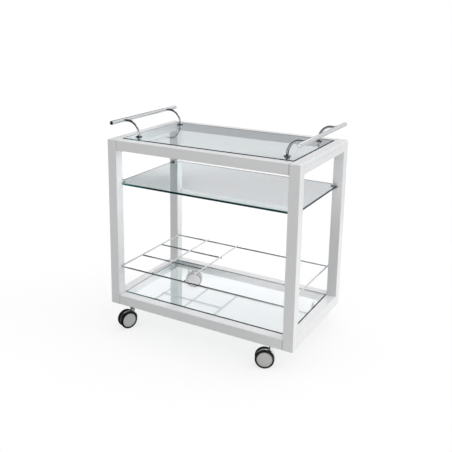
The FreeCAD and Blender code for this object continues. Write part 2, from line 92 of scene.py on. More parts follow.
# %% [markdown]
# ## Shader maths as Python
# A finish is a formula over the surface. A small class holds one output of a node, so that plain arithmetic
# on it adds Math nodes, and one method adds every other kind of node. The formulas below then read as
# formulas.

# %% The wire class
class Wire:
    """One output of a shader node. Arithmetic on it adds Math nodes to the same tree."""

    def __init__(self, tree, socket=None):
        self.tree = tree
        self.socket = socket

    def node(self, kind, settings, sockets, output=""):
        """Adds a node of any kind: its settings, then values or wires for its sockets. Gives one output."""
        made = self.tree.nodes.new(kind)
        for key, value in settings.items():
            setattr(made, key, value)
        for key, value in sockets.items():
            target = next(s for s in made.inputs if key in (s.identifier, s.name))
            if isinstance(value, Wire):
                self.tree.links.new(value.socket, target)
            else:
                target.default_value = value
        found = [s for s in made.outputs if output in ("", s.identifier, s.name)]
        return Wire(self.tree, found[0] if found else None)

    def maths(self, operation, first, second=0.0):
        return self.node("ShaderNodeMath", {"operation": operation}, {"Value": first, "Value_001": second})

    def __add__(self, other):
        return self.maths("ADD", self, other)

    def __radd__(self, other):
        return self.maths("ADD", other, self)

    def __sub__(self, other):
        return self.maths("SUBTRACT", self, other)

    def __rsub__(self, other):
        return self.maths("SUBTRACT", other, self)

    def __mul__(self, other):
        return self.maths("MULTIPLY", self, other)

    def __rmul__(self, other):
        return self.maths("MULTIPLY", other, self)

    def __abs__(self):
        return self.maths("ABSOLUTE", self)


# %% Shorthands for nodes that come back often
def noise(place, scale, detail=2.0):
    """Cloudy noise from 0 to 1 with about that many lumps per metre."""
    sockets = {"Vector": place, "Scale": scale, "Detail": detail}
    return place.node("ShaderNodeTexNoise", {}, sockets, "Fac")


def step_between(value, low, high):
    """A smooth step: 0 below low, 1 above high."""
    limits = {"Value": value, "From Min": low, "From Max": high}
    return value.node("ShaderNodeMapRange", {"interpolation_type": "SMOOTHSTEP"}, limits, "Result")


def between(share, first, second):
    """A colour that goes from the first to the second as share goes from 0 to 1."""
    colours = {"Factor_Float": share, "A_Color": first, "B_Color": second}
    return share.node("ShaderNodeMix", {"data_type": "RGBA"}, colours, "Result_Color")


def axis_of(place, axis):
    """One coordinate of a place: X, Y or Z."""
    return place.node("ShaderNodeSeparateXYZ", {}, {"Vector": place}, axis)


def relief(height, depth, strength):
    """A normal that makes a height from 0 to 1 look that many metres deep."""
    sockets = {"Height": height, "Distance": depth, "Strength": strength}
    return height.node("ShaderNodeBump", {}, sockets, "Normal")


def light_path(wire, output):
    """What kind of ray is asking: an output of the Light Path node."""
    return wire.node("ShaderNodeLightPath", {}, {}, output)


WHITE = (1, 1, 1, 1)
print("shader helpers ready")

# %% [markdown]
# ## Light
# The photograph is a bright cut-out: tops nearly white, the right-hand faces a little less, the front faces a
# light grey. That is a soft sky, brighter overhead than at the horizon, plus one broad low key from the right
# and a little behind, with nothing of it on the front. The world's strength is written per kind of ray, so
# that the backdrop is white for the camera, for metal and for glass, while the light on the cart stays at a
# plain level.

# %% World and key light
HORIZON = 0.36
OVERHEAD = 1.12
KEY = 0.42
KEY_FROM = Vector((0.82, 0.38, 0.42))
KEY_ANGLE = 55

world = bpy.data.worlds.new("white_studio")
world.use_nodes = True
scene.world = world
world.node_tree.nodes.clear()
sky = Wire(world.node_tree)


def seen_directly(wire):
    """1 for rays that show the backdrop itself: from the camera, off metal and through glass."""
    camera_ray = light_path(wire, "Is Camera Ray")
    mirror_ray = light_path(wire, "Is Glossy Ray")
    glass_ray = light_path(wire, "Is Transmission Ray")
    return camera_ray.maths("MAXIMUM", camera_ray, mirror_ray.maths("MAXIMUM", mirror_ray, glass_ray))


look = sky.node("ShaderNodeTexCoord", {}, {}, "Generated")
lift = look.maths("MAXIMUM", axis_of(look, "Z"), 0.0)
soft = HORIZON + (OVERHEAD - HORIZON) * lift
strength = soft + (1 - soft) * seen_directly(sky)
backdrop = sky.node("ShaderNodeBackground", {}, {"Color": WHITE, "Strength": strength})
sky.node("ShaderNodeOutputWorld", {}, {"Surface": backdrop})

key_data = bpy.data.lights.new("key_light", "SUN")
key_data.energy = KEY * math.pi
key_data.angle = math.radians(KEY_ANGLE)
key = bpy.data.objects.new("key_light", key_data)
key.rotation_euler = KEY_FROM.to_track_quat("Z", "Y").to_euler()
scene.collection.objects.link(key)
print("sky from", HORIZON, "to", OVERHEAD, "key", KEY)

# %% [markdown]
# The cart shades its own posts, yet in the photograph the left posts' inner faces are nearly white, brightest
# at the top, and the rear right post's front is only a little darker than the front posts. Narrow strip lamps
# close to the right posts do that. A small spread keeps the light of each on the post opposite.

# %% Strip lamps inside the cart
STRIP_WIDTH = 0.036
STRIP_SPREAD = 60
STRIP_GAP = 0.008
CORNER_GAP = 0.007

near_low, near_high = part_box("front_right_post")
far_low, far_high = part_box("rear_right_post")
near_middle = (near_low + near_high) / 2
far_middle = (far_low + far_high) / 2
strip_x = near_low.x - STRIP_GAP
strip_y = near_high.y + CORNER_GAP


def strip_light(name, place, back, length, radiance):
    """A narrow upright lamp. Back points away from where it shines, and the radiance is what it would have
    if it shone to all sides: the small spread makes it brighter straight ahead."""
    data = bpy.data.lights.new(name, "AREA")
    data.shape = "RECTANGLE"
    data.size = STRIP_WIDTH
    data.size_y = length
    data.energy = radiance * math.pi * STRIP_WIDTH * length
    data.spread = math.radians(STRIP_SPREAD)
    strip = bpy.data.objects.new(name, data)
    strip.location = place
    strip.rotation_euler = Vector(back).to_track_quat("Z", "Y").to_euler()
    for ray in ("camera", "glossy", "transmission"):
        setattr(strip, "visible_" + ray, False)
    scene.collection.objects.link(strip)
    print(name, length, "m long at", [round(value, 3) for value in place])


strip_light("front_strip", (strip_x, near_middle.y, 0.69), (1, 0, 0), 0.16, 9.5)
strip_light("rear_strip", (strip_x, far_middle.y, 0.65), (1, 0, 0), 0.22, 8.5)
strip_light("corner_strip", (near_middle.x, strip_y, 0.63), (0, -1, 0), 0.20, 1.6)

# %% [markdown]
# ## From arrays to pieces
# Every new piece is a surface worked out with numpy: a grid of points, filled by a formula in two parameters.
# One function turns such grids into a mesh object. It closes seams and poles by merging points that coincide,
# turns the faces outwards, and writes a UV map: the share of the way round, and the distance along the
# profile in metres.

# %% Grids to meshes
WELD_DISTANCE = 1e-7
SHARP_ANGLE = math.radians(40)


def grid_faces(rows, columns, wrap_rows, wrap_columns):
    """Row and column numbers of each face's four corners, before wrapping, as an array (faces, 4, 2)."""
    row = np.arange(rows if wrap_rows else rows - 1)
    column = np.arange(columns if wrap_columns else columns - 1)
    row, column = (a.ravel() for a in np.meshgrid(row, column, indexing="ij"))
    corners = [(row, column), (row, column + 1), (row + 1, column + 1), (row + 1, column)]
    return np.stack([np.stack(corner, axis=-1) for corner in corners], axis=1)


def grid_uv(points, faces, wrap_columns):
    """UV of each face corner: the share of the way along the columns, and distance down the first column."""
    first_column = np.concatenate([points[:, 0], points[:1, 0]])
    steps = np.linalg.norm(np.diff(first_column, axis=0), axis=-1)
    distance = np.concatenate([[0.0], np.cumsum(steps)])
    share = faces[:, :, 1] / (points.shape[1] if wrap_columns else points.shape[1] - 1)
    return np.stack([share, distance[faces[:, :, 0]]], axis=-1)


def mesh_object(name, grids):
    """A smooth mesh object from grids, each a (points, wrap_rows, wrap_columns)."""
    vertices, faces, uvs, start = [], [], [], 0
    for points, wrap_rows, wrap_columns in grids:
        rows, columns = points.shape[:2]
        corners = grid_faces(rows, columns, wrap_rows, wrap_columns)
        uvs.append(grid_uv(points, corners, wrap_columns))
        faces.append(start + corners[:, :, 0] % rows * columns + corners[:, :, 1] % columns)
        vertices.append(points.reshape(-1, 3))
        start += rows * columns
    mesh = bpy.data.meshes.new(name)
    mesh.from_pydata(np.concatenate(vertices).tolist(), [], np.concatenate(faces).tolist())
    uv_values = np.concatenate(uvs).astype(np.float32).ravel()
    mesh.uv_layers.new(name="UVMap").data.foreach_set("uv", uv_values)
    welded = bmesh.new()
    welded.from_mesh(mesh)
    bmesh.ops.remove_doubles(welded, verts=welded.verts, dist=WELD_DISTANCE)
    bmesh.ops.recalc_face_normals(welded, faces=welded.faces)
    welded.to_mesh(mesh)
    welded.free()
    mesh.shade_smooth()
    mesh.set_sharp_from_angle(angle=SHARP_ANGLE)
    made = bpy.data.objects.new(name, mesh)
    scene.collection.objects.link(made)
    return made


def piece(name, grids, body, slot, stands_for=()):
    """A piece of the cart: it rides on a body, takes the slot's finish and may stand for CAD nodes."""
    made = mesh_object(name, grids)
    made.data.materials.append(finishes[slot])
    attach(made, body)
    if stands_for:
        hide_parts(*stands_for)
    print(name, len(made.data.polygons), "faces on", body)


# %% Two ways to make a grid
def eased(points, radius, closed, steps=7):
    """A polyline with rounded corners: each corner C is cut back to A and B by the radius, or by 0.45 of the
    shorter side where that is less, and bridged by the parabola (1-t)^2 A + 2t(1-t) C + t^2 B. An open line
    keeps its two ends."""
    corner = np.asarray(points, float)
    back = np.roll(corner, 1, axis=0) - corner
    on = np.roll(corner, -1, axis=0) - corner
    back_length = np.linalg.norm(back, axis=1)
    on_length = np.linalg.norm(on, axis=1)
    cut = np.minimum(radius, 0.45 * np.minimum(back_length, on_length))
    first = corner + back * (cut / back_length)[:, None]
    last = corner + on * (cut / on_length)[:, None]
    t = np.linspace(0, 1, steps)[None, :, None]
    arcs = (1 - t) ** 2 * first[:, None] + 2 * t * (1 - t) * corner[:, None] + t ** 2 * last[:, None]
    if closed:
        return arcs.reshape(-1, corner.shape[1])
    return np.concatenate([corner[:1], arcs[1:-1].reshape(-1, corner.shape[1]), corner[-1:]])


def turned(profile, centre, axis, count=72):
    """A profile of (along, radius) pairs spun about an axis:
    point = centre + along * axis + radius * (cos a * side + sin a * other)."""
    axis = np.asarray(axis, float)
    side = np.cross(axis, (0, 0, 1)) if abs(axis[2]) < 0.9 else np.array((1.0, 0, 0))
    other = np.cross(axis, side)
    angle = np.linspace(0, 2 * math.pi, count, endpoint=False)[:, None]
    ring = np.cos(angle) * side + np.sin(angle) * other
    profile = np.asarray(profile, float)
    return np.asarray(centre, float) + profile[:, None, :1] * axis + profile[:, None, 1:] * ring


print("surface helpers ready")

# %% [markdown]
# ## Floor
# The floor is a plain pale disc. It is white where the camera or metal look at it, and it keeps part of the
# cart's shadow. For light that bounces back up it is a mid grey, so that the front faces don't wash out.
# Through glass it is white too, but a shaded grey under the cart and close to it.

# %% Make the floor
FLOOR_REACH = 60.0
FLOOR_MIDDLE = 3.0
FLOOR_BOUNCE = 0.57
SHADOW_SHARE = 0.28
UNDER_SHADE = (0.70, 0.715, 0.715, 1)
SHADE_FROM, SHADE_TO = 0.7, 1.3

floor_outline = [(0, 0), (0, FLOOR_MIDDLE), (0, FLOOR_REACH)]
floor = mesh_object("floor", [(turned(floor_outline, (0, 0, 0), (0, 0, 1), 96), False, True)])
floor_paint = bpy.data.materials.new("floor_paint")
floor_paint.use_nodes = True
floor_paint.node_tree.nodes.clear()
paint = Wire(floor_paint.node_tree)
seen = seen_directly(paint)
bounce = FLOOR_BOUNCE + (1 - FLOOR_BOUNCE) * seen
tone = paint.node("ShaderNodeCombineXYZ", {}, {"X": bounce, "Y": bounce, "Z": bounce})
matt = paint.node("ShaderNodeBsdfDiffuse", {}, {"Color": tone})
ground = paint.node("ShaderNodeTexCoord", {}, {}, "Object")
distance = paint.node("ShaderNodeVectorMath", {"operation": "LENGTH"}, {"Vector": ground}, "Value")
under = light_path(paint, "Is Transmission Ray") * (1 - step_between(distance, SHADE_FROM, SHADE_TO))
glow_tone = between(under, WHITE, UNDER_SHADE)
glow = paint.node("ShaderNodeEmission", {}, {"Color": glow_tone, "Strength": 1.0})
shares = {"Fac": seen * (1 - SHADOW_SHARE), "Shader": matt, "Shader_001": glow}
paint.node("ShaderNodeOutputMaterial", {}, {"Surface": paint.node("ShaderNodeMixShader", {}, shares)})
floor.data.materials.append(floor_paint)
print("floor radius", FLOOR_REACH)

# %% [markdown]
# ## Flags and cards for metal and glass
# Chrome has no colour of its own: it shows what stands round it, and so does the skin of a glass pane. In the
# photograph the handles' stems and the rods along the cart are dark and the upper panes mirror a grey room,
# so the studio was dark on the left and behind the camera. The base pane mirrors something very bright behind
# the cart, which all but hides what lies under the glass. Photographers hang black flags and white cards
# there. These are patches of spheres round the cart, and cards on the floor. Only light that has been
# mirrored at least once sees them, also through a pane: they cast no shadow and the camera never shows them.
# Their borders fade out.

# %% Hang the flags and cards
FLAG_MIDDLE = np.array((0, 0, 0.6))
FLAG_COLUMNS, FLAG_ROWS = 49, 25
CARD_POINTS = 9
CARD_BORDERS = (0.08, 0.08)


def hang_flag(name, grid, borders, tone):
    """A card that only mirrored light sees. The borders are the shares of it that fade out at each side,
    across the grid's columns and along its rows."""
    flag = mesh_object(name, [(grid, False, False)])
    cloth_material = bpy.data.materials.new(name)
    cloth_material.use_nodes = True
    cloth_material.node_tree.nodes.clear()
    cloth = Wire(cloth_material.node_tree)
    place = cloth.node("ShaderNodeTexCoord", {}, {}, "UV")
    length = np.linalg.norm(np.diff(grid[:, 0], axis=0), axis=-1).sum()
    sides = (axis_of(place, "X"), axis_of(place, "Y") * (1 / float(length)))
    across, along = (step_between(1 - abs(2 * s - 1), 0, 2 * b) for s, b in zip(sides, borders))
    mirrors = light_path(cloth, "Glossy Depth")
    shown = across * along * mirrors.maths("MINIMUM", mirrors, 1.0)
    gap = cloth.node("ShaderNodeBsdfTransparent", {}, {"Color": WHITE})
    face = cloth.node("ShaderNodeEmission", {}, {"Color": tone, "Strength": 1.0})
    mixed = cloth.node("ShaderNodeMixShader", {}, {"Fac": shown, "Shader": gap, "Shader_001": face})
    cloth.node("ShaderNodeOutputMaterial", {}, {"Surface": mixed})
    flag.data.materials.append(cloth_material)
    for ray in ("camera", "diffuse", "volume_scatter", "shadow"):
        setattr(flag, "visible_" + ray, False)
    print(name, "hangs with", len(flag.data.polygons), "faces")


def sky_patch(reach, turns, lifts):
    """A patch of a sphere. With the turn a and the lift e, each point is
    middle + reach (cos e cos a, cos e sin a, sin e)."""
    a = np.radians(np.linspace(*turns, FLAG_COLUMNS))[None, :]
    e = np.radians(np.linspace(*lifts, FLAG_ROWS))[:, None]
    sphere = (np.cos(e) * np.cos(a), np.cos(e) * np.sin(a), np.sin(e) + 0 * a)
    return FLAG_MIDDLE + reach * np.stack(np.broadcast_arrays(*sphere), axis=-1)


def floor_patch(across, along, height):
    """A flat patch a little above the floor between two x and two y."""
    x, y = np.meshgrid(np.linspace(*across, CARD_POINTS), np.linspace(*along, CARD_POINTS))
    return np.stack([x, y, np.full_like(x, height)], axis=-1)


BLACK_CLOTH = (0.03, 0.033, 0.037, 1)
GREY_CLOTH = (0.10, 0.105, 0.11, 1)
PALE_CLOTH = (0.62, 0.61, 0.63, 1)
WARM_CLOTH = (0.39, 0.32, 0.35, 1)
FLOOR_CARD = (0.62, 0.63, 0.64, 1)
BACK_CARD = (0.80, 0.81, 0.82, 1)
WHITE_CARD = (2.35, 2.2, 2.25, 1)
hang_flag("tall_flag", sky_patch(3.0, (134, 250), (-20, 80)), (0.05, 0.06), BLACK_CLOTH)
hang_flag("upper_flag", sky_patch(3.1, (112, 142), (22.5, 62)), (0.06, 0.05), BLACK_CLOTH)
hang_flag("front_flag", sky_patch(3.2, (225, 312), (8, 75)), (0.08, 0.08), BLACK_CLOTH)
hang_flag("right_flag", sky_patch(3.4, (300, 385), (-4, 50)), (0.12, 0.12), GREY_CLOTH)
hang_flag("low_flag", sky_patch(12.0, (99, 129), (-7, 15.5)), (0.15, 0.1), PALE_CLOTH)
hang_flag("corner_flag", sky_patch(12.3, (120, 150), (14.2, 20)), (0.16, 0.16), BLACK_CLOTH)
hang_flag("shelf_flag", sky_patch(12.5, (97, 150), (13.2, 20.5)), (0.12, 0.16), WARM_CLOTH)
hang_flag("back_card", sky_patch(13.0, (30, 99), (-8, 42)), (0.15, 0.15), BACK_CARD)
hang_flag("white_card", sky_patch(14.0, (98, 138), (20, 33)), (0.15, 0.15), WHITE_CARD)
hang_flag("back_floor_card", floor_patch((-1.6, 3.4), (1.3, 5.5), 0.001), CARD_BORDERS, FLOOR_CARD)
hang_flag("left_floor_card", floor_patch((-2.4, 0.3), (-2.4, 0.1), 0.001), CARD_BORDERS, GREY_CLOTH)
hang_flag("front_floor_card", floor_patch((-0.6, 4.6), (-5.0, -1.9), 0.002), CARD_BORDERS, GREY_CLOTH)

# %% [markdown]
# ## Finishes
# Each finish is one Principled shader. What is the same all over is set on its sockets, and what changes over
# the surface, such as smudges, grain or a dirt line, is a formula on the Object coordinates, which are in
# metres, or on the UV map.

# %% Start a finish
finishes = {}


def start_finish(name, constants):
    """A new material with its Principled shader's constants. Gives the shader and the Object coordinates."""
    material = bpy.data.materials.new(name)
    material.use_nodes = True
    shader = material.node_tree.nodes["Principled BSDF"]
    for key, value in constants.items():
        shader.inputs[key].default_value = value
    finishes[name] = material
    return shader, Wire(material.node_tree).node("ShaderNodeTexCoord", {}, {}, "Object")


def feed(shader, wires):
    """Links wires to a shader's sockets by name."""
    for key, wire in wires.items():
        wire.tree.links.new(wire.socket, shader.inputs[key])


# %% [markdown]
# ### White lacquer
# Sprayed lacquer on steel tube is never quite even. The coat has a faint orange peel, a millimetre or two
# across, and its gloss drifts a little from place to place. The sharp ends of the long rails, where they meet
# the posts, get a grey line: painted shade of the narrow gap at the joint, with a little dust in it. That
# line is what makes the joints readable from across a room.

# %% White lacquer
SEAM_FROM = near_low.x - 0.0032
SEAM_TO = near_low.x - 0.0014


def white_lacquer(name, with_joint_shade_and_dust):
    """Gloss white lacquer; the long rails' version ends in a grey line: painted joint shade, with a little
    dust.
    """
    shader, place = start_finish(name, {"Specular IOR Level": 0.5})
    drift = noise(place, 5.0, 3.0)
    colour = between(drift, (0.825, 0.83, 0.84, 1), (0.86, 0.862, 0.868, 1))
    if with_joint_shade_and_dust:
        # Painted shade of the gap where rail meets post, with a little dust: a grey line at the rail ends.
        joint_shade_and_dust = step_between(abs(axis_of(place, "X")), SEAM_FROM, SEAM_TO)
        colour = between(0.55 * joint_shade_and_dust, colour, (0.30, 0.30, 0.31, 1))
    peel = noise(place, 620.0, 1.0)
    gloss = 0.20 + 0.10 * noise(place, 28.0, 3.0)
    feed(shader, {"Base Color": colour, "Roughness": gloss, "Normal": relief(peel, 0.0002, 0.10)})


white_lacquer("white_lacquer", False)
white_lacquer("rail_lacquer", True)
print("lacquer made")

# %% [markdown]
# ### Glass
# Float glass is clear through its faces and green along its edges, because there the light travels a long way
# inside. The faces have a faint tint, and a volume absorption adds to it where the way through is longer.
# Light that enters a ground edge is lost in the pane's depth, so the edge looks solid: full metallic cuts the
# transmission there and leaves a dark blue-green line. Towards the left end the line is painted paler, a
# painted highlight for light that comes in through the next edge. The short edges look along the pane's whole
# length, so they are nearly black. Lamp rays pass straight through by a mix with a transparent shader, which
# keeps the shadows of the panes light. Fingers leave faint smudges.

# %% Clear glass
FACE_TINT = (0.835, 0.883, 0.888, 1)
LONG_EDGE_DARK = (0.009, 0.066, 0.068, 1)
LONG_EDGE_PAINTED_LIGHT = (0.07, 0.40, 0.41, 1)
SHORT_EDGE = (0.05, 0.068, 0.073, 1)
PAINTED_LIGHT_FROM, PAINTED_LIGHT_TO = 0.22, 0.27
LAMP_TINT = (0.975, 0.98, 0.98, 1)
DEPTH_TINT = (0.32, 0.58, 0.61, 1)
GLASS_LOSS = 6.0


def clear_glass():
    """Clear glass with faint smudges, a little blue-green absorption and solid matt edges with a painted
    highlight.
    """
    shader, place = start_finish("clear_glass", {"Transmission Weight": 1.0, "IOR": 1.5})
    facing = place.node("ShaderNodeNewGeometry", {}, {}, "True Normal")
    edge = 1 - step_between(abs(axis_of(facing, "Z")), 0.8, 0.98)
    end = step_between(abs(axis_of(facing, "X")), 0.5, 0.8)
    smudge = step_between(noise(place, 14.0, 4.0), 0.55, 0.8)
    # The long edges' paler left end is a painted highlight for light that comes in through the next edge.
    painted_light_left_end = step_between(0 - axis_of(place, "X"), PAINTED_LIGHT_FROM, PAINTED_LIGHT_TO)
    drift = 0.2 * noise(place, 9.0, 2.0) + 0.7 * painted_light_left_end
    ground_edge = between(end, between(drift, LONG_EDGE_DARK, LONG_EDGE_PAINTED_LIGHT), SHORT_EDGE)
    feed(shader, {
        "Base Color": between(edge, FACE_TINT, ground_edge),
        "Metallic": edge,
        "Roughness": 0.012 * smudge + 0.45 * edge,
    })
    tree = shader.id_data
    output = tree.nodes["Material Output"]
    lamp_ray = light_path(place, "Is Shadow Ray")
    clear = place.node("ShaderNodeBsdfTransparent", {}, {"Color": LAMP_TINT})
    solid = Wire(tree, shader.outputs["BSDF"])
    mixed = place.node("ShaderNodeMixShader", {}, {"Fac": lamp_ray, "Shader": solid, "Shader_001": clear})
    inside = place.node("ShaderNodeVolumeAbsorption", {}, {"Color": DEPTH_TINT, "Density": GLASS_LOSS})
    tree.links.new(mixed.socket, output.inputs["Surface"])
    tree.links.new(inside.socket, output.inputs["Volume"])


clear_glass()
print("glass made")

# %% [markdown]
# ### Metals
# Chrome is a mirror with fingerprints, so its colour stays bright and its roughness drifts. The shelf's clips
# have the same plate without the polish. The casters have a softer silver finish, the handles' feet are dark
# nickel, and the hidden screws are zinc plated, with the plating's patchy crystals.

# %% Chrome, caster silver, dark nickel and zinc
def chrome(name, polish):
    """Bright chrome with faint smudges; the polish is its lowest roughness."""
    shader, place = start_finish(name, {"Metallic": 1.0})
    cloud = noise(place, 40.0, 3.0)
    feed(shader, {
        "Base Color": between(cloud, (0.70, 0.71, 0.725, 1), (0.80, 0.805, 0.815, 1)),
        "Roughness": polish + 0.07 * step_between(noise(place, 90.0, 4.0), 0.45, 0.8),
    })


def caster_silver():
    """Satin silver plating on the casters' hoods."""
    shader, place = start_finish("caster_silver", {"Metallic": 1.0})
    grain = noise(place, 1500.0, 2.0)
    feed(shader, {
        "Base Color": between(noise(place, 60.0), (0.78, 0.785, 0.79, 1), (0.88, 0.885, 0.89, 1)),
        "Roughness": 0.24 + 0.10 * noise(place, 120.0, 3.0),
        "Normal": relief(grain, 0.00008, 0.15),
    })


def dark_nickel():
    """Dark nickel plate, a little cloudy."""
    shader, place = start_finish("dark_nickel", {"Metallic": 1.0})
    cloud = noise(place, 140.0, 3.0)
    feed(shader, {
        "Base Color": between(cloud, (0.12, 0.14, 0.165, 1), (0.19, 0.215, 0.25, 1)),
        "Roughness": 0.16 + 0.10 * noise(place, 300.0, 3.0),
    })


def zinc_steel():
    """Zinc plate with patchy crystals."""
    shader, place = start_finish("zinc_steel", {"Metallic": 1.0})
    patch = place.node("ShaderNodeTexVoronoi", {}, {"Vector": place, "Scale": 450.0}, "Distance")
    feed(shader, {
        "Base Color": between(patch, (0.46, 0.47, 0.49, 1), (0.62, 0.63, 0.66, 1)),
        "Roughness": 0.28 + 0.2 * patch,
    })


chrome("chrome", 0.03)
chrome("satin_chrome", 0.5)
caster_silver()
dark_nickel()
zinc_steel()
print("metals made")

# %% [markdown]
# ### Plastics and rubber
# The wheels are satin grey with the fine grain of a spark-eroded mould, the tyres soft black with a little
# dust, and the plugs and pads plain moulded plastic. Their grain is far finer than a millimetre, so it shows
# as sheen rather than as bumps.

# %% Wheel grey, tyre black and the small plastics
def wheel_grey():
    """Satin grey plastic with fine turning marks round the disc."""
    shader, place = start_finish("wheel_grey", {"Specular IOR Level": 0.45})
    distance = axis_of(place.node("ShaderNodeTexCoord", {}, {}, "UV"), "Y")
    rings = distance.maths("SINE", distance * 9000.0)
    grain = noise(place, 2200.0, 2.0)
    feed(shader, {
        "Base Color": between(noise(place, 150.0, 3.0), (0.60, 0.605, 0.585, 1), (0.68, 0.685, 0.665, 1)),
        "Roughness": 0.36 + 0.10 * grain,
        "Normal": relief(grain + 0.15 * rings, 0.00006, 0.25),
    })


def tyre_black():
    """Soft black tyre with patches of dust."""
    shader, place = start_finish("tyre_black", {"Specular IOR Level": 0.3})
    dust = step_between(noise(place, 260.0, 4.0), 0.45, 0.75)
    grain = noise(place, 1800.0, 2.0)
    feed(shader, {
        "Base Color": between(0.3 * dust, (0.006, 0.006, 0.007, 1), (0.04, 0.039, 0.037, 1)),
        "Roughness": 0.38 + 0.18 * dust,
        "Normal": relief(grain, 0.0001, 0.2),
    })


def moulded(name, dark, light, gloss, constants):
    """Plain moulded plastic between two close colours, with a fine grain."""
    shader, place = start_finish(name, constants)
    grain = noise(place, 1600.0, 2.0)
    feed(shader, {
        "Base Color": between(noise(place, 80.0, 3.0), dark, light),
        "Roughness": gloss + 0.12 * grain,
        "Normal": relief(grain, 0.00008, 0.2),
    })


wheel_grey()
tyre_black()
moulded("white_plastic", (0.76, 0.76, 0.765, 1), (0.82, 0.82, 0.825, 1), 0.42, {})
see_through = {"Transmission Weight": 0.7}
moulded("clear_silicone", (0.80, 0.83, 0.83, 1), (0.88, 0.90, 0.90, 1), 0.22, see_through)
print("finishes:", sorted(finishes))

# %% [markdown]
# ### Dress the CAD nodes
# A node whose shape is right keeps its CAD mesh and only changes its material. The frame names each node's
# slot by its first material, so the finish is looked up by that name. Two variants stay in their slots: the
# four long rails take the lacquer with the joint line, and the shelf's clips are chromed without polish.

# %% Give the nodes their finishes
VARIANTS = {
    "front_top_rail": "rail_lacquer",
    "front_bottom_rail": "rail_lacquer",
    "rear_top_rail": "rail_lacquer",
    "rear_bottom_rail": "rail_lacquer",
    "shelf_clips": "satin_chrome",
}

for name, node in frame["nodes"].items():
    slot_name = node.material_slots[0].material.name.split(".")[0]
    node.material_slots[0].material = finishes[VARIANTS.get(name, slot_name)]
print("dressed", len(frame["nodes"]), "nodes")

# %% [markdown]
# ## Handles
# Each handle is a chrome tube on two bent stems. A tube end that was cut and deburred has a small rounded
# lip, which catches a line of light that a sharp edge wouldn't. So the tube is a thin rounded rectangle spun
# about the bar's axis, and a polished plug with an all but flat face sits inside it.

# %% Handle tubes and end plugs
TUBE_WALL = 0.0015
TUBE_LIP = 0.0005
PLUG_DEPTH = 0.0126
PLUG_RECESS = 0.0006
PLUG_CROWN = 0.0001

plug_grids = []
for end in ("left", "right"):
    low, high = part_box(end + "_handle_bar")
    middle = (low + high) / 2
    half = (high.y - low.y) / 2
    outer = (high.z - low.z) / 2
    inner = outer - TUBE_WALL
    section = eased([(-half, inner), (-half, outer), (half, outer), (half, inner)], TUBE_LIP, True)
    tube_grids = [(turned(section, middle, (0, 1, 0)), True, True)]
    piece(end + "_handle_tube", tube_grids, "cart", "chrome", [end + "_handle_bar"])
    plug_back = half - PLUG_DEPTH
    plug_face = half - PLUG_RECESS
    plug_corners = [(plug_back, 0), (plug_back, inner), (plug_face, inner), (plug_face + PLUG_CROWN, 0)]
    plug = eased(plug_corners, TUBE_LIP, False)
    plug_grids += [(turned(plug, middle, (0, side, 0)), False, True) for side in (-1, 1)]
piece("handle_plugs", plug_grids, "cart", "chrome", ["handle_end_plugs"])

# %% [markdown]
# A stem is one rod: straight up from the glass, round a quarter circle and out to the bar. As a function of
# the distance s along it, its direction turns by an angle that grows from 0 to a quarter turn, and the place
# follows in closed form. The radius grows in the last millimetres: that is the brazed fillet at the bar.

# %% Handle stems
STEM_RADIUS = 0.005
STEM_UPRIGHT = 0.0095
STEM_BEND = 0.0505
STEM_RUN = 0.0235
STEM_TAIL = 0.018
STEM_CHAMFER = 0.0006
STEM_SINK = 0.0008
BAR_RADIUS = 0.008
FILLET = 0.0028
FILLET_GROWTH = 0.6
FOOT_RADIUS = 0.013

glass_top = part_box("top_glass")[1].z
foot_low, foot_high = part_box("handle_flanges")
stem_x = foot_high.x - FOOT_RADIUS
stem_y = foot_high.y - FOOT_RADIUS


def stem_grid(end, side, count=40):
    """A circle carried along the stem's path. With the angle f = clip((s - upright) / bend, 0, quarter turn):
    out = bend (1 - cos f) + what is left of s after the bend, up = min(s, upright) + bend sin f."""
    quarter = STEM_BEND * math.pi / 2
    length = STEM_UPRIGHT + quarter + STEM_RUN - BAR_RADIUS + STEM_SINK
    tail = np.linspace(-STEM_TAIL + STEM_CHAMFER, STEM_UPRIGHT, 8)
    bend = STEM_UPRIGHT + quarter * np.linspace(0.03, 1, 40)
    run = np.linspace(STEM_UPRIGHT + quarter + 0.002, length, 24)
    s = np.concatenate([[-STEM_TAIL, -STEM_TAIL], tail, bend, run])
    f = np.clip((s - STEM_UPRIGHT) / STEM_BEND, 0, math.pi / 2)
    out = STEM_BEND * (1 - np.cos(f)) + np.maximum(0, s - STEM_UPRIGHT - quarter)
    up = np.minimum(s, STEM_UPRIGHT) + STEM_BEND * np.sin(f)
    near_bar = np.clip((s - length + STEM_SINK + FILLET) / FILLET, 0, 1)
    radius = STEM_RADIUS + FILLET_GROWTH * FILLET * (1 - np.sqrt(1 - near_bar ** 2))
    radius[:2] = 0, STEM_RADIUS - STEM_CHAMFER
    angle = np.linspace(0, 2 * math.pi, count, endpoint=False)[None, :]
    across = radius[:, None] * np.cos(angle)
    normal = radius[:, None] * np.sin(angle)
    x = stem_x + out[:, None] + normal * np.cos(f)[:, None]
    z = glass_top + up[:, None] - normal * np.sin(f)[:, None]
    y = np.broadcast_to(side * stem_y + across, x.shape)
    return np.stack([end * x, y, z], axis=-1)


stem_grids = [(stem_grid(end, side), False, True) for end in (-1, 1) for side in (-1, 1)]
piece("handle_bent_stems", stem_grids, "cart", "chrome", ["handle_stems"])

# %% [markdown]
# The round feet on the glass are turned parts in dark nickel: a disc with a soft edge that rises to a low
# collar round the stem. A thin soft gasket keeps metal off glass.

# %% Handle feet and gaskets
GASKET = 0.0005
GASKET_RADIUS = 0.0125
GASKET_EDGE = 0.0002
FOOT_EDGE = 0.0007
DISC_TOP = 0.0026
COLLAR_FOOT = (0.0030, 0.0090)
COLLAR_RADIUS = 0.0074
HOLE_PLAY = 0.00005

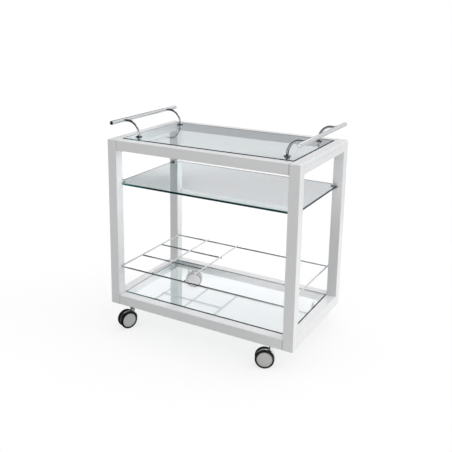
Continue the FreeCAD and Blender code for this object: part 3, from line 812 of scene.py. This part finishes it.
foot_height = foot_high.z - foot_low.z
foot_places = [(end * stem_x, side * stem_y, glass_top) for end in (-1, 1) for side in (-1, 1)]
hole = STEM_RADIUS + HOLE_PLAY
foot = eased([(GASKET, hole), (GASKET, FOOT_RADIUS), (DISC_TOP, FOOT_RADIUS), COLLAR_FOOT,
              (foot_height, COLLAR_RADIUS), (foot_height, hole)], FOOT_EDGE, True)
foot_grids = [(turned(foot, place, (0, 0, 1)), True, True) for place in foot_places]
piece("handle_feet", foot_grids, "cart", "dark_nickel", ["handle_flanges"])
gasket_corners = [(0, hole), (0, GASKET_RADIUS), (GASKET, GASKET_RADIUS), (GASKET, hole)]
gasket = eased(gasket_corners, GASKET_EDGE, True)
gasket_grids = [(turned(gasket, place, (0, 0, 1)), True, True) for place in foot_places]
piece("handle_gaskets", gasket_grids, "cart", "clear_silicone")

# %% [markdown]
# ## Bottle rack
# The rack is round rod, welded where a cross rod lies on a long one. Rod ends are rounded off, and each
# crossing has a small bead of weld in the corner between the rods, polished and plated with the rest.

# %% Rods
ROD_RADIUS = 0.003
ROD_END = 0.0009
CELL_WIDTH = 0.1475
CELL_ROWS = 3

long_low, long_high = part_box("rack_long_rods")
cross_low, cross_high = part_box("rack_cross_rods")
rod_z = long_low.z + ROD_RADIUS
cross_z = cross_low.z + ROD_RADIUS
rod_y = long_high.y - ROD_RADIUS
rod_x = cross_high.x - ROD_RADIUS
cross_xs = [-rod_x, -rod_x + CELL_WIDTH, -rod_x + 2 * CELL_WIDTH, rod_x]
divider_ys = [-rod_y + 2 * rod_y * row / CELL_ROWS for row in range(1, CELL_ROWS)]


def rod_grid(start, end):
    """A straight rod with rounded ends: its outline spun about the line from start to end."""
    start, end = np.array(start), np.array(end)
    length = np.linalg.norm(end - start)
    outline = eased([(0, 0), (0, ROD_RADIUS), (length, ROD_RADIUS), (length, 0)], ROD_END, False)
    return turned(outline, start, (end - start) / length, 32)


long_ends = [(-rod_y, long_low.x, long_high.x), (rod_y, long_low.x, long_high.x)]
long_ends += [(y, -rod_x - ROD_RADIUS, cross_xs[2] + ROD_RADIUS) for y in divider_ys]
long_grids = [(rod_grid((a, y, rod_z), (b, y, rod_z)), False, True) for y, a, b in long_ends]
piece("rack_rods_along", long_grids, "cart", "chrome", ["rack_long_rods"])
cross_ends = [((x, cross_low.y, cross_z), (x, cross_high.y, cross_z)) for x in cross_xs]
cross_grids = [(rod_grid(start, end), False, True) for start, end in cross_ends]
piece("rack_rods_across", cross_grids, "cart", "chrome", ["rack_cross_rods"])

# %% Weld beads
BEAD_REACH = 0.0036
BEAD_LOBES = 0.0004
BEAD_HALF_HEIGHT = 0.0015

crossings = [(x, y) for x in cross_xs for y in (-rod_y, rod_y)]
crossings += [(x, y) for x in cross_xs[:3] for y in divider_ys]
tilt = np.linspace(-math.pi / 2, math.pi / 2, 13)[:, None]
way = np.linspace(0, 2 * math.pi, 28, endpoint=False)[None, :]
swell = (BEAD_REACH + BEAD_LOBES * np.cos(4 * way)) * np.cos(tilt)
bead_shape = (swell * np.cos(way), swell * np.sin(way), BEAD_HALF_HEIGHT * np.sin(tilt))
bead = np.stack(np.broadcast_arrays(*bead_shape), axis=-1)
bead_z = (rod_z + cross_z) / 2
bead_grids = [(bead + np.array((x, y, bead_z)), False, True) for x, y in crossings]
piece("rack_weld_beads", bead_grids, "cart", "chrome")

# %% [markdown]
# ## Casters
# Each caster has two wheels on one axle. A wheel is spun about the axle that the frame's joint gives: a
# shallow dome outside, a rounded edge, a fine gap to the tyre, and inside a hub and a rim with a recess
# between them. Every outline is written as pairs of the distance from the caster's middle and the radius.

# %% Wheels and tyres
WHEEL_INNER = 0.005
WHEEL_OUTER = 0.0195
CORE_RADIUS = 0.029
TYRE_RADIUS = 0.036
TYRE_SHOULDER = 0.0352
TYRE_SIDE = 0.0328
TREAD_FROM, TREAD_TO = 0.0095, 0.0150
SHOULDER_FROM, SHOULDER_TO = 0.0068, 0.0177
TYRE_LIP = 0.0298
TYRE_LIP_FACE = 0.0187
DOME_TOP = 0.020
DOME_EDGE = (0.0180, 0.0278)
STEP_TOP = 0.0174
STEP_FACE = 0.0160
STEP_RADIUS = 0.0285
RIM_RADIUS = 0.0255
RECESS_FACE = 0.0140
HUB_RADIUS = 0.009
BORE_RADIUS = 0.00405
BORE_END = 0.0165
WHEEL_EDGE = 0.0009
TYRE_EDGE = 0.0014

dome_share = np.linspace(0, 1, 14)
dome_depth = DOME_TOP - DOME_EDGE[0]
dome = np.stack([DOME_TOP - dome_depth * dome_share ** 2, DOME_EDGE[1] * dome_share], axis=-1)
wheel_back = eased([
    DOME_EDGE, (STEP_TOP, STEP_RADIUS), (STEP_FACE, STEP_RADIUS), (STEP_FACE, CORE_RADIUS),
    (WHEEL_INNER, CORE_RADIUS), (WHEEL_INNER, RIM_RADIUS), (RECESS_FACE, RIM_RADIUS),
    (RECESS_FACE, HUB_RADIUS), (WHEEL_INNER, HUB_RADIUS), (WHEEL_INNER, BORE_RADIUS),
    (BORE_END, BORE_RADIUS), (BORE_END, 0),
], WHEEL_EDGE, False)
wheel_outline = np.concatenate([dome, wheel_back[1:]])
tyre_outline = eased([
    (WHEEL_INNER, CORE_RADIUS), (WHEEL_INNER, TYRE_SIDE), (SHOULDER_FROM, TYRE_SHOULDER),
    (TREAD_FROM, TYRE_RADIUS), (TREAD_TO, TYRE_RADIUS), (SHOULDER_TO, TYRE_SHOULDER),
    (WHEEL_OUTER, TYRE_SIDE), (WHEEL_OUTER, TYRE_LIP), (TYRE_LIP_FACE, CORE_RADIUS),
], TYRE_EDGE, True)

casters = ("front_left", "front_right", "rear_left", "rear_right")
for caster in casters:
    for hand, sign in (("right", 1), ("left", -1)):
        wheel = caster + "_caster_" + hand
        joint = joints[wheel + "_wheel_spin"]
        outwards = sign * np.array(joint["axis"])
        core = turned(wheel_outline, joint["pos_m"], outwards, 96)
        piece(wheel + "_disc", [(core, False, True)], joint["child"], "wheel_grey", [wheel + "_wheel"])
        ring = turned(tyre_outline, joint["pos_m"], outwards, 96)
        piece(wheel + "_tread", [(ring, True, True)], joint["child"], "tyre_black", [wheel + "_tyre"])

# %% [markdown]
# The hood is one casting: a web between the wheels, a guard in front of them and a neck that turns on the
# kingpin. It is made of four closed shells that run into each other, each a profile carried along an arc or
# round an outline, in the caster's own frame: X along the axle, Z up, the swivel axis at the origin.

# %% The hood's web and guard
AXLE_PLACE = np.array((0.0, -0.024, 0.036))
WEB_HALF = 0.0045
WEB_RADIUS = 0.033
WEB_SKIRT = 0.010
WEB_EDGE = 0.002
WEB_CORNER = 0.003
WEB_MIDDLE = np.array((0.0, 0.006))
GUARD_INNER, GUARD_OUTER = 0.037, 0.040
GUARD_HALF = 0.013
GUARD_ARC = (4, 54)
BRIDGE_INNER, BRIDGE_OUTER = 0.030, 0.0395
BRIDGE_ARC = (36, 70)
SHELL_EDGE = 0.0012


def arc_shell(half_width, inner, outer, from_deg, to_deg, edge, rows=40):
    """A rounded rectangle carried along an arc about the axle. Towards each end it shrinks about its middle
    by sqrt(1 - e^2), where e runs from 0 to 1 over the last stretch, so the ends are round and closed."""
    corners = [(-half_width, inner), (half_width, inner), (half_width, outer), (-half_width, outer)]
    section = eased(corners, edge, True)
    centre = np.array((0.0, (inner + outer) / 2))
    low, high = math.radians(from_deg), math.radians(to_deg)
    share = np.linspace(0, 1, rows)
    angle = low + (high - low) * (0.5 - 0.5 * np.cos(math.pi * share))
    stretch = edge / centre[1]
    e = np.clip(1 - np.minimum(angle - low, high - angle) / stretch, 0, 1)
    shrink = np.sqrt(np.maximum(0, 1 - e ** 2))[:, None, None]
    scale = np.concatenate([1 - (1 - shrink) * edge / half_width, shrink], axis=-1)
    reach = centre + scale * (section - centre)
    reach[0] = reach[-1] = centre
    x = reach[:, :, 0]
    y = reach[:, :, 1] * np.cos(angle)[:, None]
    z = reach[:, :, 1] * np.sin(angle)[:, None]
    return AXLE_PLACE + np.stack([x, y, z], axis=-1)


def web_shell():
    """A flat web with a rounded rim: its outline, moved inwards by an inset that depends on the place across
    the web, from one flat side round the rim to the other."""
    start = -math.asin(WEB_SKIRT / WEB_RADIUS)
    angle = np.linspace(start, math.pi - start, 61)
    arc = WEB_RADIUS * np.stack([np.cos(angle), np.sin(angle)], axis=-1)
    outline = eased(arc, WEB_CORNER, True, 3)
    outwards = (outline - WEB_MIDDLE) / np.linalg.norm(outline - WEB_MIDDLE, axis=1)[:, None]
    bend = np.linspace(0, math.pi / 2, 7)
    rise = WEB_EDGE * (1 - np.cos(bend))
    across = np.concatenate([[-WEB_HALF], rise - WEB_HALF, WEB_HALF - rise[::-1], [WEB_HALF]])
    fall = WEB_EDGE * (1 - np.sin(bend))
    inset = np.concatenate([fall, fall[::-1]])
    rim = outline[None] - inset[:, None, None] * outwards[None]
    pole = np.broadcast_to(WEB_MIDDLE, (1,) + outline.shape)
    flat = np.concatenate([pole, rim, pole])
    x = np.broadcast_to(across[:, None], flat.shape[:2])
    return AXLE_PLACE + np.stack([x, flat[:, :, 0], flat[:, :, 1]], axis=-1)


print("guard from", GUARD_INNER, "to", GUARD_OUTER, "round the axle, web radius", WEB_RADIUS)

# %% The hood's neck
NECK_RADIUS = 0.009
NECK_TOP = 0.088
NECK_FLARE = 0.0022
NECK_REACH = 0.0385
NECK_LEAST_RISE = 0.010
NECK_BASE = 0.062
NECK_ROUNDING = (0.0003, 0.0010)
NECK_DROP = 0.0004


def neck_shell():
    """The neck: each upright line starts on the guard's curve and rises to the top, and the radius flares at
    the foot by the square of what is left of the rise."""
    angle = np.linspace(0, 2 * math.pi, 48, endpoint=False)[None, :]
    rise = np.concatenate([np.linspace(0, 0.93, 20), [0.96, 0.98, 1.0, 1.0, 1.0]])[:, None]
    radius = NECK_RADIUS + NECK_FLARE * np.maximum(0, 1 - 3 * rise) ** 2
    radius[-3:, 0] = NECK_RADIUS - NECK_ROUNDING[0], NECK_RADIUS - NECK_ROUNDING[1], 0.0
    x, y = radius * np.cos(angle), radius * np.sin(angle)
    lean = y[:1] - AXLE_PLACE[1]
    foot = AXLE_PLACE[2] + np.sqrt(np.maximum(NECK_REACH ** 2 - lean ** 2, NECK_LEAST_RISE ** 2))
    z = foot + (NECK_TOP - foot) * rise
    z[-4] -= NECK_DROP
    nothing = np.zeros_like(angle)
    base = np.stack([nothing, nothing, np.full_like(angle, NECK_BASE)], axis=-1)
    return np.concatenate([base, np.stack([x, y, z], axis=-1)])


# %% Caster hoods
hood_shells = [
    (web_shell(), False, True),
    (arc_shell(GUARD_HALF, GUARD_INNER, GUARD_OUTER, *GUARD_ARC, SHELL_EDGE), False, True),
    (arc_shell(WEB_HALF, BRIDGE_INNER, BRIDGE_OUTER, *BRIDGE_ARC, SHELL_EDGE), False, True),
    (neck_shell(), False, True),
]
for caster in casters:
    swivel = joints[caster + "_caster_swivel"]
    axle = joints[caster + "_caster_right_wheel_spin"]["axis"]
    turn_to = np.array(((axle[0], -axle[1], 0), (axle[1], axle[0], 0), (0, 0, 1)))
    place = np.array((swivel["pos_m"][0], swivel["pos_m"][1], 0))
    grids = [(shell @ turn_to.T + place, *wraps) for shell, *wraps in hood_shells]
    piece(caster + "_caster_casting", grids, caster + "_caster", "caster_silver", [caster + "_caster_hood"])
